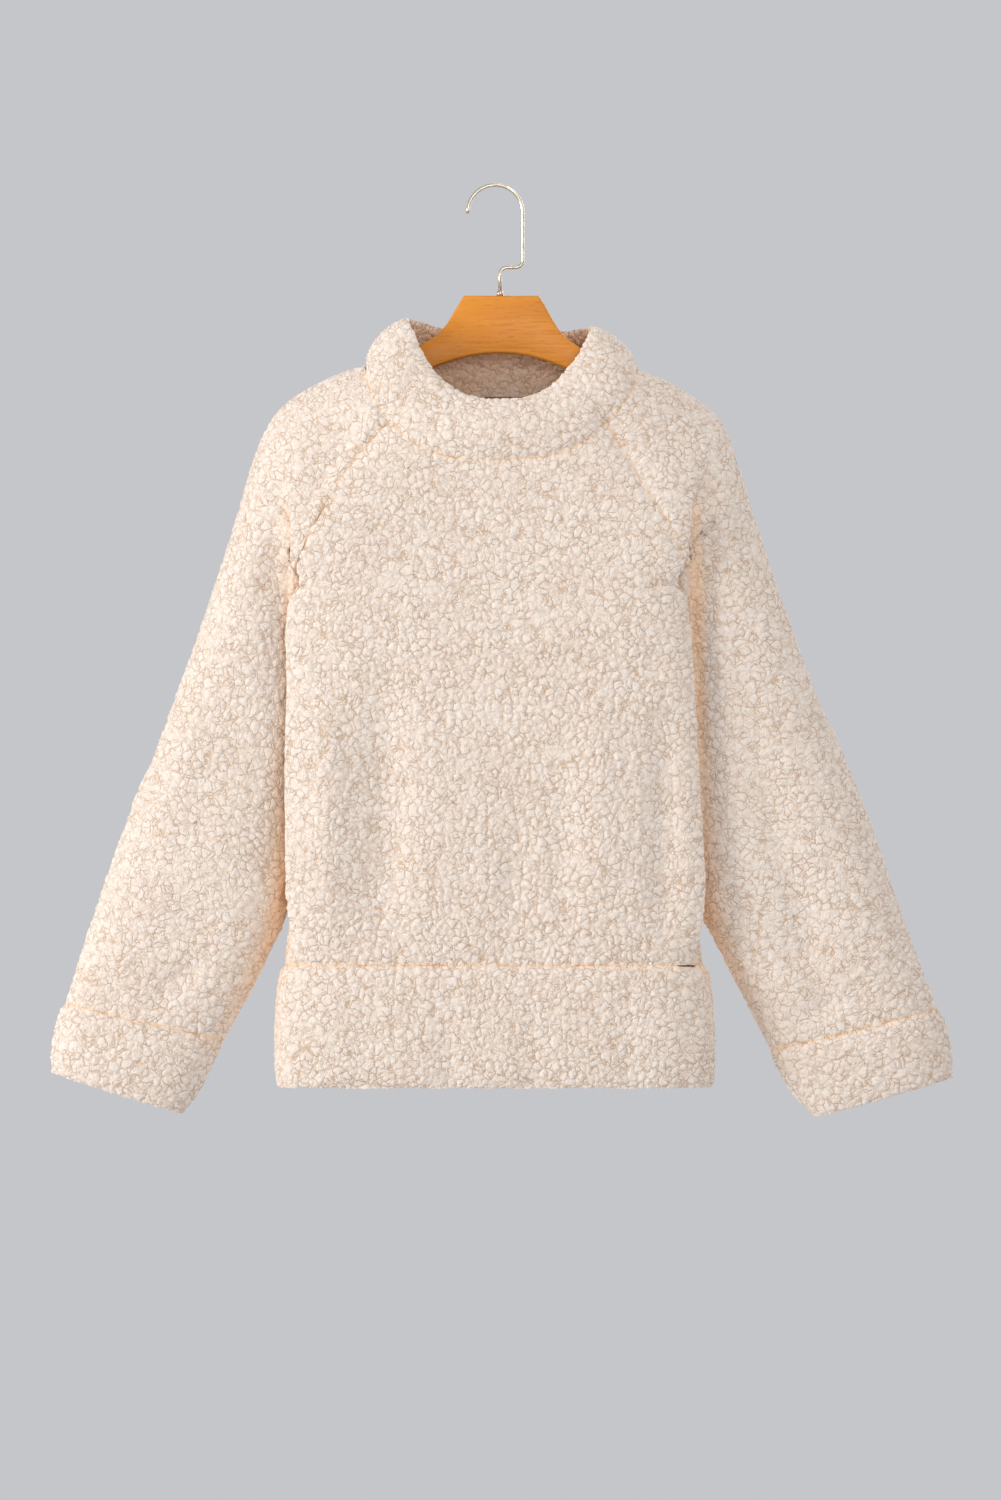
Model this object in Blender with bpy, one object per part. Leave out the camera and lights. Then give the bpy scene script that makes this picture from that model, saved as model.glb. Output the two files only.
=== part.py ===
"""A raglan pullover in thick sherpa fleece, hanging on a flat wooden hanger.

Metres, +Z up. The origin is the inner top of the hook's arc, where a rail or a nail
carries the whole thing. The front faces -Y. Left and right are as seen from the front.
Lengths in the tables are millimetres in the front view: x to the right, z up.

The garment's outer skin is laid out first, as grids that share their seam points. Each
panel is then cut from that skin along its seams and given its own wall, so neighbours
meet edge to edge with a small gap.
"""

import math

import bmesh
import bpy
import numpy as np
from mathutils import Vector

MM = 0.001

# Cloth: a knitted backing with its pile. Collar, hem band and cuffs are folded double.
CLOTH_WALL = 5.5
COLLAR_WALL = 10.0
BAND_WALL = 9.0
CUFF_WALL = 8.0
SEAM_GAP = 0.5
SEAM_BACK_PULL = 0.5
SEAM_PINCH = 1.3
SEAM_PINCH_SHARE = 0.25
EDGE_PINCH_SHARE = 0.2
UNDERARM_THIN = 0.35
UNDERARM_REACH = 26.0
FOLD_ROUNDING = 0.32
WELD = 0.002

# Grid sizes of the skin.
HALF_COLUMNS = 12
EDGE_COLUMNS = 5
EDGE_CELL = 11.0
LEAST_APEX = 38.0
HALF_ARC_CELLS = 9
DENSE = 240
FOLD_SMOOTHING = 8.0
FOLD_FITS = 3

# Body outline. A row runs from seam to seam across one face of the body.
CENTRE_X = 3.0
BODY_POWER = 5.0
RAGLAN_ROWS = 9
UNDERARM_ROW = RAGLAN_ROWS - 1

# Raglan rows, from the neck (row 0) to the underarm (row 8): where the raglan seam crosses
# the front view, and how low the row sags at the centre of the front and of the back.
RAGLAN = {
    "left_x": (-94, -113, -130, -146, -160, -173, -187, None, None),
    "right_x": (98.5, 112, 125, 140, 154, 166, 176, None, None),
    "left_z": (-213, -233, -254, -278, -304, -329, -350, -367, -385),
    "right_z": (-215, -236, -258, -282, -306, -328, -348, -366, -385),
    "back_z": (-172, -199, -228, -260, -293, -323, -348, -367, -385),
    "front_middle_z": (-249, -263, -279, -297, -315, -334, -354, -375, -397),
    "back_middle_z": (-183, -209, -236, -264, -292, -319, -346, -372, -397),
    "front_depth": (62, 61, 60, 59, 58, 57.5, 57, 57, 57),
    "back_depth": (46, 46, 47, 47, 47, 47, 47, 47, 47),
    "seam_angle": (90, 90, 90, 90, 90, 94, 108, 122, 180),
}

# Lower body rows, from the underarm to the hem band's seam. edge is how far the front
# fold reaches, seam is where the side seam lies, tucked back behind that fold.
LOWER_BODY = {
    "z": (-385, -418, -452, -488, -525, -563, -601, -638, -670, -699),
    "left_edge": (-187, -187, -186, -187, -188, -187, -187, -188, -190, -190),
    "right_edge": (174, 176, 178, 180, 182, 184, 187, 189, 189, 188),
    "left_seam": (-142, -143, -147, -151, -156, -161, -168, -176, -186, -189.5),
    "right_seam": (130, 132, 137, 142, 146, 150, 157, 167, 182, 187.5),
    "front_depth": (57, 56.5, 56, 55, 54, 53, 52, 51, 50, 48),
    "back_depth": (47, 46.5, 46, 45.5, 45, 44, 43, 42, 41, 39),
}
FRONT_NOTCH = 40.0
BACK_NOTCH = 31.0
NOTCH_POWER = 3.0

# Sleeve stations over the shoulder, which end on the raglan seam: the outer edge in the
# front view, and how far the sleeve swells to the front and to the back.
SLEEVE_TOP = {
    "left_x": (-118, -141, -164, -185, -201, -212, -221, -230.5, -242),
    "left_z": (-160, -168, -178, -190, -206, -229, -256, -288, -322),
    "right_x": (130, 151, 172, 191, 205, 213, 221, 231, 243),
    "right_z": (-164, -172, -184, -197, -211, -230, -256, -286, -320),
    "front_depth": (50, 53, 55, 56, 56, 54, 48, 41, 34),
    "back_depth": (41, 43, 44, 44.5, 44.5, 44, 43, 34, 27),
    "power": (1.9, 1.75, 1.7, 1.75, 1.85, 2.0, 2.1, 2.1, 2.0),
    "bow": (5, 3, 1.5, 0, 0, 0, 0, 0, 0),
}

# Sleeve stations below the underarm: the outer and the inner edge in the front view.
SLEEVE_LOW = {
    "left_outer_x": (-253, -264, -279, -296, -312, -329, -344, -358, -373, -387.5),
    "left_outer_z": (-355, -388, -430, -473, -518, -563, -606, -646, -690, -734),
    "left_inner_x": (-148, -153, -159, -166, -174, -186, -200, -214, -229, -243),
    "left_inner_z": (-417, -450, -500, -550, -600, -655, -684, -712, -741, -768),
    "right_outer_x": (253.5, 264.5, 279.5, 295.5, 313, 332, 348, 362.5, 380.5, 398.5),
    "right_outer_z": (-352, -383, -424, -467, -510, -556, -602, -645, -694, -739),
    "right_inner_x": (137, 143, 150, 157, 165, 176, 192, 208, 228, 247),
    "right_inner_z": (-417, -450, -500, -550, -598, -640, -668, -699, -738, -778),
    "front_depth": (33.5, 33, 32, 31, 30, 29, 27, 25.5, 24, 22),
    "back_depth": (26.5, 26, 26, 25.5, 25, 24, 23, 22, 21, 20),
    "power": (2.1, 2.2, 2.3, 2.4, 2.4, 2.4, 2.4, 2.4, 2.4, 2.4),
}

# Cuffs, from just below the seam to the opening.
CUFF = {
    "left_outer_x": (-392, -398, -404),
    "left_outer_z": (-741, -765, -793),
    "left_inner_x": (-247, -259, -275),
    "left_inner_z": (-775, -802, -834),
    "right_outer_x": (404, 409, 416),
    "right_outer_z": (-745, -768, -798),
    "right_inner_x": (249, 262, 281),
    "right_inner_z": (-785, -809, -837),
    "front_depth": (24, 23.5, 21.5),
    "back_depth": (22, 21.5, 20),
    "power": (2.4, 2.4, 2.4),
}

# Hem band, from just below its seam to the hem.
HEM = {
    "z": (-706, -740, -776, -806),
    "left_edge": (-194.5, -197, -198.5, -198.5),
    "right_edge": (193, 196, 198, 198.5),
    "front_depth": (51.5, 52, 51, 49),
    "back_depth": (42.5, 43, 42, 41),
}

# Collar: the neck seam's half sizes, the rim's oval, and the rim's height all round.
COLLAR_ROWS = 4
NECK_HALF_WIDTH = 122.0
NECK_HALF_DEPTH = 55.0
RIM_CENTRE = (4.5, -7.0)
RIM_HALF_WIDTH = 88.0
RIM_FRONT_DEPTH = 49.0
RIM_BACK_DEPTH = 47.0
RIM_SIDE_Z = -124.0
RIM_FRONT_DROP = 71.0
RIM_BACK_DROP = 7.0
RIM_FRONT_POWER = 2.7
COLLAR_BULGE = 7.0

# Main soft folds in the front view: points along each fold with the depth there, then its
# half width. A positive depth is a trough, a negative one a ridge.
FRONT_FOLDS = (
    (((-118, -430, 0), (-112, -520, 3.5), (-108, -620, 4.5), (-112, -700, 1)), 24),
    (((-160, -420, 0), (-158, -520, -2.5), (-160, -640, -3), (-163, -700, 0)), 18),
    (((20, -470, 0), (30, -560, 2.5), (34, -660, 3), (30, -700, 0)), 30),
    (((118, -400, 0), (124, -500, 3), (128, -610, 4), (124, -700, 1)), 22),
    (((-199, -238, 1), (-199, -290, 7), (-198, -350, 8)), 11),
    (((190, -245, 1), (190, -290, 7), (188, -350, 8)), 11),
)
BACK_FOLDS = (
    (((-90, -400, 0), (-84, -520, 4), (-80, -640, 4), (-84, -700, 1)), 26),
    (((70, -380, 0), (76, -500, 3.5), (84, -620, 4.5), (82, -700, 1)), 28),
    (((-4, -230, 0), (-2, -300, 3), (0, -360, 0)), 34),
    (((-199, -238, 1), (-200, -290, 4), (-200, -350, 5)), 12),
    (((190, -245, 1), (191, -290, 4), (191, -350, 5)), 12),
)
FRONT_FOLD_REACH_Y = -20
BACK_FOLD_REACH_Y = 15
BODY_FOLD_Z = (-702, -200)
SLEEVE_FOLDS = (
    (((-262, -640, 0), (-286, -680, 4), (-318, -720, 1)), 15),
    (((-218, -420, 0), (-236, -520, 3.5), (-262, -600, 0)), 16),
    (((262, -640, 0), (284, -684, 4), (322, -716, 1)), 15),
    (((206, -400, 0), (226, -500, 3.5), (256, -590, 0)), 16),
)
SLEEVE_FOLD_LEAST_X = 192
SLEEVE_FOLD_LEAST_Y = 10
SLEEVE_FOLD_TOP_Z = -330

# Hanger: a flat wooden board. Its upper edge lies just under the shoulders.
BOARD = 12.0
BOARD_ROUNDING = 2.2
HANGER_TOP_Z = -98.4
HANGER_TOP_LEFT = -28.2
HANGER_TOP_RIGHT = 39.0
ARCH_TOP = (4.0, -149.8)
HANGER_RIGHT_UPPER = (
    (44.5, -106.7), (50.6, -118.1), (57.8, -129.4), (66.1, -137.6), (75.5, -144.4),
    (98, -159), (122, -173.5), (148, -180.2), (171, -192.6), (189, -206.4),
)
HANGER_RIGHT_LOWER = ((186, -222), (160, -212), (124, -197), (88, -178), (60, -162), (30, -152.3))
HANGER_LEFT_LOWER = ((-22, -152.3), (-52, -161.5), (-84, -176), (-120, -193), (-155, -208), (-180, -217))
HANGER_LEFT_UPPER = (
    (-182, -197.6), (-163, -185.4), (-139, -175.6), (-112, -169.5), (-90, -156.5),
    (-66.7, -142.7), (-60.5, -138.7), (-51.2, -132.5), (-43, -123.2), (-35.8, -110.9),
)
HANGER_TIP_ROUNDING = 6.0

# Hook: wire bent to an open arc, a long leg and a step back over the hanger's middle.
WIRE = 3.2
HOOK_RADIUS = 23.2 + WIRE / 2
BEND_RADIUS = 6.0
HOOK_LEG_END_Z = -66.7
HOOK_STEM_X = 4.4
FERRULE_HEIGHT = 4.3
FERRULE_RADIUS = 3.2
FERRULE_TOP_SHARE = 0.8
FERRULE_SIDES = 20
WIRE_SIDES_RESOLUTION = 2
WIRE_STEP = 3.6
PIECE_GAP = 0.3

FLEECE = ("sherpa fleece", (0.83, 0.74, 0.63), 0.95, 0.0)
RIM_FLEECE = ("sherpa fleece bands", (0.82, 0.73, 0.62), 0.95, 0.0)
WOOD = ("honey lacquered wood", (0.72, 0.30, 0.06), 0.38, 0.0)
PALE_WIRE = ("pale plated wire", (0.66, 0.58, 0.46), 0.28, 1.0)


def clear_scene():
    for obj in list(bpy.data.objects):
        bpy.data.objects.remove(obj, do_unlink=True)


def material(spec):
    name, colour, roughness, metallic = spec
    made = bpy.data.materials.get(name)
    if made is None:
        made = bpy.data.materials.new(name)
        made.use_nodes = True
        shader = made.node_tree.nodes["Principled BSDF"]
        shader.inputs["Base Color"].default_value = (*colour, 1.0)
        shader.inputs["Roughness"].default_value = roughness
        shader.inputs["Metallic"].default_value = metallic
    return made


def finish(name, bm, spec):
    """Turns a bmesh into a named object with its material."""
    mesh = bpy.data.meshes.new(name)
    bm.to_mesh(mesh)
    bm.free()
    mesh.shade_smooth()
    mesh.set_sharp_from_angle(angle=math.radians(50))
    obj = bpy.data.objects.new(name, mesh)
    obj.data.materials.append(material(spec))
    bpy.context.scene.collection.objects.link(obj)
    return obj


def arc_lengths(points):
    steps = np.linalg.norm(np.diff(points, axis=0), axis=1)
    return np.concatenate([[0.0], np.cumsum(steps)])


def resample(points, shares):
    """Points at the given shares of a polyline's length."""
    along = arc_lengths(points)
    at = np.asarray(shares) * along[-1]
    return np.stack([np.interp(at, along, points[:, axis]) for axis in range(3)], axis=1)


def smooth_through(points, steps):
    """A Catmull-Rom curve through points in the plane, with steps on each span."""
    points = np.asarray(points, float)
    padded = np.vstack([2 * points[0] - points[1], points, 2 * points[-1] - points[-2]])
    curve = []
    for p0, p1, p2, p3 in zip(padded, padded[1:], padded[2:], padded[3:]):
        for step in range(steps):
            t = step / steps
            curve.append(
                0.5 * (2 * p1 + (p2 - p0) * t + (2 * p0 - 5 * p1 + 4 * p2 - p3) * t**2
                       + (3 * p1 - p0 - 3 * p2 + p3) * t**3)
            )
    curve.append(points[-1])
    return np.array(curve)


def softened(points, reach):
    """Rounds the sharp turns of a dense polyline, with its two ends kept."""
    spacing = arc_lengths(points)[-1] / (len(points) - 1)
    half = max(1, int(round(reach / spacing)))
    count = len(points)
    rounded = points.copy()
    for index in range(1, count - 1):
        window = min(half, index, count - 1 - index)
        rounded[index] = points[index - window:index + window + 1].mean(axis=0)
    return rounded


def column_shares(length, apex, edge_share):
    """Where a half row's columns lie: even near the neck, and lower down close together
    from the seam to the fold's edge at apex, with one column on that edge."""
    even = np.linspace(0, 1, HALF_COLUMNS + 1)
    near = np.append(np.linspace(0, apex, EDGE_COLUMNS), apex + EDGE_CELL) / length
    rest = np.linspace(near[-1], 1, HALF_COLUMNS - EDGE_COLUMNS + 1)[1:]
    close = np.concatenate([near, rest])
    return even + (close - even) * edge_share


def half_row(side, face, end_x, edge_x, end_y, depth, notch, end_z, middle_z, edge_share):
    """One face's row from its seam to the middle. end_x is None where a notch sets it."""
    first = math.asin((abs(end_y) / depth) ** (BODY_POWER / 2))
    turns = np.linspace(first, math.pi / 2, DENSE)
    shares = np.sin(turns) ** (2 / BODY_POWER)
    outline = np.abs(np.cos(turns)) ** (2 / BODY_POWER)
    if end_x is not None:
        points = row_points(side, face, abs(end_x - CENTRE_X) / outline[0] * outline, depth * shares)
    else:
        wanted = abs(edge_x - CENTRE_X)
        seam_reach, notch_width = notch
        reach = wanted
        open_share = np.minimum(shares * depth / notch_width, 1)
        fold = (1 - open_share**NOTCH_POWER) ** (1 / NOTCH_POWER)
        for _ in range(FOLD_FITS):
            across = reach * outline - (reach - seam_reach) * fold
            points = row_points(side, face, across, depth * shares)
            reach += wanted - np.abs(points[:, 0] - CENTRE_X).max()
    along = arc_lengths(points)
    apex = max(along[np.abs(points[:, 0] - CENTRE_X).argmax()], LEAST_APEX)
    left_to_go = 1 - along / along[-1]
    points[:, 2] = middle_z + (end_z - middle_z) * left_to_go**3
    return resample(points, column_shares(along[-1], apex, edge_share))


def row_points(side, face, across, swell):
    """A row's dense points in plan, with its fold rounded."""
    points = np.stack([CENTRE_X + side * across, face * swell, np.zeros(len(across))], axis=1)
    return softened(resample(points, np.linspace(0, 1, DENSE)), FOLD_SMOOTHING)


def notch_of(face, seam_x):
    """Where the side seam lies from the middle, and how wide the fold opens on one face."""
    return abs(seam_x - CENTRE_X), FRONT_NOTCH if face < 0 else BACK_NOTCH


def seam_y(face, row):
    """The raglan seam's depth, where the sleeve's own section ends on it."""
    column = "front_depth" if face < 0 else "back_depth"
    angle = math.radians(RAGLAN["seam_angle"][row])
    return SLEEVE_TOP[column][row] * abs(math.sin(angle)) ** (2 / SLEEVE_TOP["power"][row])


def raglan_half_row(side, face, row):
    hand = "left" if side < 0 else "right"
    depth = RAGLAN["front_depth" if face < 0 else "back_depth"][row]
    middle_z = RAGLAN["front_middle_z" if face < 0 else "back_middle_z"][row]
    end_z = RAGLAN[hand + "_z" if face < 0 else "back_z"][row]
    edge_x = LOWER_BODY[hand + "_edge"][0]
    notch = notch_of(face, LOWER_BODY[hand + "_seam"][0])
    end_x = RAGLAN[hand + "_x"][row]
    edge_share = min(1, row / (UNDERARM_ROW - 1))
    return half_row(side, face, end_x, edge_x, seam_y(face, row), depth, notch, end_z, middle_z, edge_share)


def lower_half_row(side, face, table, row, seam_key):
    hand = "left" if side < 0 else "right"
    depth = table["front_depth" if face < 0 else "back_depth"][row]
    edge_x = table[hand + "_edge"][row]
    seam_x = table[hand + seam_key][row]
    notch = notch_of(face, seam_x)
    z = table["z"][row]
    return half_row(side, face, None, edge_x, 0.0, depth, notch, z, z, 1.0)


def whole_row(left, right):
    """Joins two half rows at the middle, from the left end to the right end."""
    middle = (left[-1] + right[-1]) / 2
    return np.vstack([left[:-1], [middle], right[:-1][::-1]])


def body_grid(face):
    """All rows of the front or the back, from the neck to the hem band's seam."""
    rows = [
        whole_row(raglan_half_row(-1, face, row), raglan_half_row(1, face, row))
        for row in range(RAGLAN_ROWS)
    ]
    for row in range(1, len(LOWER_BODY["z"])):
        halves = [lower_half_row(side, face, LOWER_BODY, row, "_seam") for side in (-1, 1)]
        rows.append(whole_row(*halves))
    return np.array(rows)


def hem_grid(face, first_row):
    """The hem band's rows on one face. Its first row is the body's last one."""
    rows = [first_row]
    for row in range(len(HEM["z"])):
        halves = [lower_half_row(side, face, HEM, row, "_edge") for side in (-1, 1)]
        rows.append(whole_row(*halves))
    return np.array(rows)


def half_arc(outer, end, depth, angle, power, bow=0.0):
    """A sleeve's section on one face, from its outer edge to where it ends. bow swings
    its middle out from the straight line in the front view."""
    turns = np.linspace(0, math.radians(angle), DENSE)
    across = np.sign(np.cos(turns)) * np.abs(np.cos(turns)) ** (2 / power)
    swell = np.abs(np.sin(turns)) ** (2 / power)
    share = (1 - across) / (1 - across[-1])
    points = np.stack(
        [
            outer[0] + (end[0] - outer[0]) * share,
            depth * swell,
            outer[1] + (end[2] - outer[1]) * share,
        ],
        axis=1,
    )
    across = np.array([outer[1] - end[2], 0.0, end[0] - outer[0]])
    swing = across / np.linalg.norm(across) * np.sign(outer[0] * across[0]) * bow
    points += np.sin(math.pi * share)[:, None] * swing
    points[-1] = end
    return resample(points, np.linspace(0, 1, HALF_ARC_CELLS + 1))


def sleeve_top_rows(side, body):
    """Open sections over the shoulder, from the front seam to the back seam."""
    hand = "left" if side < 0 else "right"
    column = 0 if side < 0 else -1
    rows = []
    for row in range(RAGLAN_ROWS):
        outer = SLEEVE_TOP[hand + "_x"][row], SLEEVE_TOP[hand + "_z"][row]
        halves = []
        for face in (-1, 1):
            depth = face * SLEEVE_TOP["front_depth" if face < 0 else "back_depth"][row]
            end = body[face][row, column]
            angle, power, bow = RAGLAN["seam_angle"][row], SLEEVE_TOP["power"][row], SLEEVE_TOP["bow"][row]
            halves.append(half_arc(outer, end, depth, angle, power, bow))
        rows.append(np.vstack([halves[0][::-1], halves[1][1:]]))
    return rows


def tube_rows(side, table):
    """Closed sections of a sleeve or a cuff, given as open rows whose ends meet."""
    hand = "left" if side < 0 else "right"
    rows = []
    for row in range(len(table["power"])):
        outer = table[hand + "_outer_x"][row], table[hand + "_outer_z"][row]
        end = (table[hand + "_inner_x"][row], 0.0, table[hand + "_inner_z"][row])
        halves = [
            half_arc(outer, np.array(end), face * table[key][row], 180, table["power"][row])
            for face, key in ((-1, "front_depth"), (1, "back_depth"))
        ]
        rows.append(np.vstack([halves[0][::-1], halves[1][1:]]))
    return rows


def rim_point(point):
    """Where a column of the collar ends on the rim, in line with its neck point."""
    centre_x, centre_y = RIM_CENTRE
    angle = math.atan2((point[1] - centre_y) / NECK_HALF_DEPTH, (point[0] - centre_x) / NECK_HALF_WIDTH)
    depth = RIM_FRONT_DEPTH if math.sin(angle) < 0 else RIM_BACK_DEPTH
    sideways = abs(math.cos(angle))
    if math.sin(angle) < 0:
        z = RIM_SIDE_Z - RIM_FRONT_DROP * (1 - sideways**RIM_FRONT_POWER)
    else:
        z = RIM_SIDE_Z - RIM_BACK_DROP * math.sin(angle) ** 2
    return np.array(
        [centre_x + RIM_HALF_WIDTH * math.cos(angle), centre_y + depth * math.sin(angle), z]
    )


def collar_grid(neck_loop):
    """Rows from the neck seam up to the rim, each a closed loop."""
    rows = []
    rim = np.array([rim_point(point) for point in neck_loop])
    outward = neck_loop - np.array([*RIM_CENTRE, 0.0])
    outward[:, 2] = 0
    outward /= np.linalg.norm(outward, axis=1)[:, None]
    for row in range(COLLAR_ROWS + 1):
        t = row / COLLAR_ROWS
        rows.append(
            neck_loop * (1 - t) + rim * t + outward * COLLAR_BULGE * math.sin(math.pi * t)
        )
    return np.array(rows)


def distance_to(line, points):
    """Distance in the front view from points to a polyline, and its depth there."""
    nearest = np.full(len(points), np.inf)
    depth = np.zeros(len(points))
    for start, end in zip(line, line[1:]):
        start, end = np.array(start, float), np.array(end, float)
        span = end[:2] - start[:2]
        t = ((points[:, [0, 2]] - start[:2]) @ span) / (span @ span)
        t = np.clip(t, 0, 1)
        away = np.linalg.norm(points[:, [0, 2]] - start[:2] - t[:, None] * span, axis=1)
        closer = away < nearest
        nearest = np.where(closer, away, nearest)
        depth = np.where(closer, start[2] + (end[2] - start[2]) * t, depth)
    return nearest, depth


class Skin:
    """The garment's outer skin: one mesh whose faces remember their panel."""

    def __init__(self):
        self.bm = bmesh.new()
        self.panel = self.bm.faces.layers.int.new("panel")
        self.names = []

    def add(self, name, grid):
        """Adds a grid of points, given as rows, to a panel."""
        if name not in self.names:
            self.names.append(name)
        index = self.names.index(name)
        verts = [[self.bm.verts.new(Vector(point)) for point in row] for row in grid]
        for upper, lower in zip(verts, verts[1:]):
            for a, b, c, d in zip(upper, upper[1:], lower[1:], lower):
                self.bm.faces.new((a, b, c, d))[self.panel] = index

    def sew(self):
        """Merges the shared seam points and turns every face outwards."""
        bmesh.ops.remove_doubles(self.bm, verts=self.bm.verts, dist=WELD)
        flat = [face for face in self.bm.faces if face.calc_area() < WELD]
        bmesh.ops.delete(self.bm, geom=flat, context="FACES_ONLY")
        bmesh.ops.recalc_face_normals(self.bm, faces=self.bm.faces)
        self.bm.normal_update()
        front = self.names.index("front")
        facing = sum(face.normal.y for face in self.bm.faces if face[self.panel] == front)
        if facing > 0:
            bmesh.ops.reverse_faces(self.bm, faces=self.bm.faces)
            self.bm.normal_update()

    def press(self, folds, wanted):
        """Pushes the skin in along its soft folds, where wanted(x, y, z) holds."""
        verts = [v for v in self.bm.verts if wanted(v.co)]
        points = np.array([v.co for v in verts])
        moves = np.zeros(len(verts))
        for line, half_width in folds:
            away, depth = distance_to(line, points)
            moves += depth * np.exp(-((away / half_width) ** 2))
        for vert, move in zip(verts, moves):
            vert.co -= vert.normal * move
        self.bm.normal_update()


def into_panel(vert, edges, inside):
    """The direction along the skin from a seam point into its own panel."""
    total = Vector()
    for edge in edges:
        face = next(f for f in edge.link_faces if f in inside)
        along = (edge.verts[1].co - edge.verts[0].co).normalized()
        inwards = face.calc_center_median() - vert.co
        inwards -= along * inwards.dot(along)
        inwards -= vert.normal * inwards.dot(vert.normal)
        if inwards.length > 0:
            total += inwards.normalized()
    return total.normalized() if total.length > 0 else total


def underarm_share(point):
    """How much of its wall the cloth keeps near an underarm, where four seams cross."""
    away = min(
        (point - Vector((LOWER_BODY[key][0], 0.0, LOWER_BODY["z"][0]))).length
        for key in ("left_seam", "right_seam")
    )
    return min(1.0, UNDERARM_THIN + (1 - UNDERARM_THIN) * away / UNDERARM_REACH)


def cut_panel(skin, name, full_wall, spec):
    """Cuts one panel out of the skin and gives it its wall, edges and rounded folds."""
    index = skin.names.index(name)
    inside = {face for face in skin.bm.faces if face[skin.panel] == index}
    border = {}
    for face in inside:
        for edge in face.edges:
            if sum(f in inside for f in edge.link_faces) == 1:
                for vert in edge.verts:
                    border.setdefault(vert, set()).add(edge)
    bm = bmesh.new()
    outer, inner, middle = {}, {}, {}
    for vert in {v for face in inside for v in face.verts}:
        point = vert.co.copy()
        wall = full_wall * underarm_share(point)
        pinch = 0.0
        pull = Vector()
        open_edge = False
        if vert in border:
            open_edge = all(len(edge.link_faces) == 1 for edge in border[vert])
            pinch = wall * EDGE_PINCH_SHARE if open_edge else min(SEAM_PINCH, wall * SEAM_PINCH_SHARE)
            inwards = into_panel(vert, border[vert], inside)
            if not open_edge:
                meeting = len({f[skin.panel] for f in vert.link_faces})
                point += inwards * SEAM_GAP / 2 * (meeting - 1)
                pull = inwards * SEAM_BACK_PULL
            else:
                tip = point - vert.normal * wall / 2 - inwards * wall * FOLD_ROUNDING
                middle[vert] = bm.verts.new(tip * MM)
        outer[vert] = bm.verts.new((point - vert.normal * pinch) * MM)
        deep = wall - (pinch if open_edge else 0.0)
        inner[vert] = bm.verts.new((point + pull - vert.normal * deep) * MM)
    for face in inside:
        bm.faces.new([outer[v] for v in face.verts])
        bm.faces.new([inner[v] for v in reversed(face.verts)])
        for loop in face.loops:
            if loop.edge not in border.get(loop.vert, ()):
                continue
            a, b = loop.vert, loop.link_loop_next.vert
            if a in middle and b in middle:
                bm.faces.new((outer[b], outer[a], middle[a], middle[b]))
                bm.faces.new((middle[b], middle[a], inner[a], inner[b]))
            else:
                bm.faces.new((outer[b], outer[a], inner[a], inner[b]))
    bmesh.ops.triangulate(bm, faces=bm.faces, quad_method="SHORT_EDGE")
    return finish(name, bm, spec)


def build_garment():
    body = {face: body_grid(face) for face in (-1, 1)}
    skin = Skin()
    skin.add("front", body[-1])
    skin.add("back", body[1])
    for face in (-1, 1):
        skin.add("hem_band", hem_grid(face, body[face][-1]))
    tops = {}
    for side, hand in ((-1, "left"), (1, "right")):
        tops[side] = sleeve_top_rows(side, body)
        low = tube_rows(side, SLEEVE_LOW)
        skin.add("sleeve_" + hand, np.array(tops[side] + low))
        skin.add("cuff_" + hand, np.array([low[-1]] + tube_rows(side, CUFF)))
    loop = np.vstack(
        [body[-1][0], tops[1][0][1:], body[1][0][::-1][1:], tops[-1][0][::-1][1:]]
    )
    skin.add("collar", collar_grid(loop))
    skin.sew()
    low_z, high_z = BODY_FOLD_Z
    skin.press(FRONT_FOLDS, lambda co: co.y < FRONT_FOLD_REACH_Y and low_z < co.z < high_z)
    skin.press(BACK_FOLDS, lambda co: co.y > BACK_FOLD_REACH_Y and low_z < co.z < high_z)
    skin.press(
        SLEEVE_FOLDS,
        lambda co: abs(co.x) > SLEEVE_FOLD_LEAST_X
        and abs(co.y) > SLEEVE_FOLD_LEAST_Y
        and co.z < SLEEVE_FOLD_TOP_Z,
    )
    for name in skin.names:
        wall = CLOTH_WALL
        if name == "collar":
            wall = COLLAR_WALL
        elif name == "hem_band":
            wall = BAND_WALL
        elif name.startswith("cuff"):
            wall = CUFF_WALL
        spec = FLEECE if wall == CLOTH_WALL else RIM_FLEECE
        cut_panel(skin, name, wall, spec)
    skin.bm.free()


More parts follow.
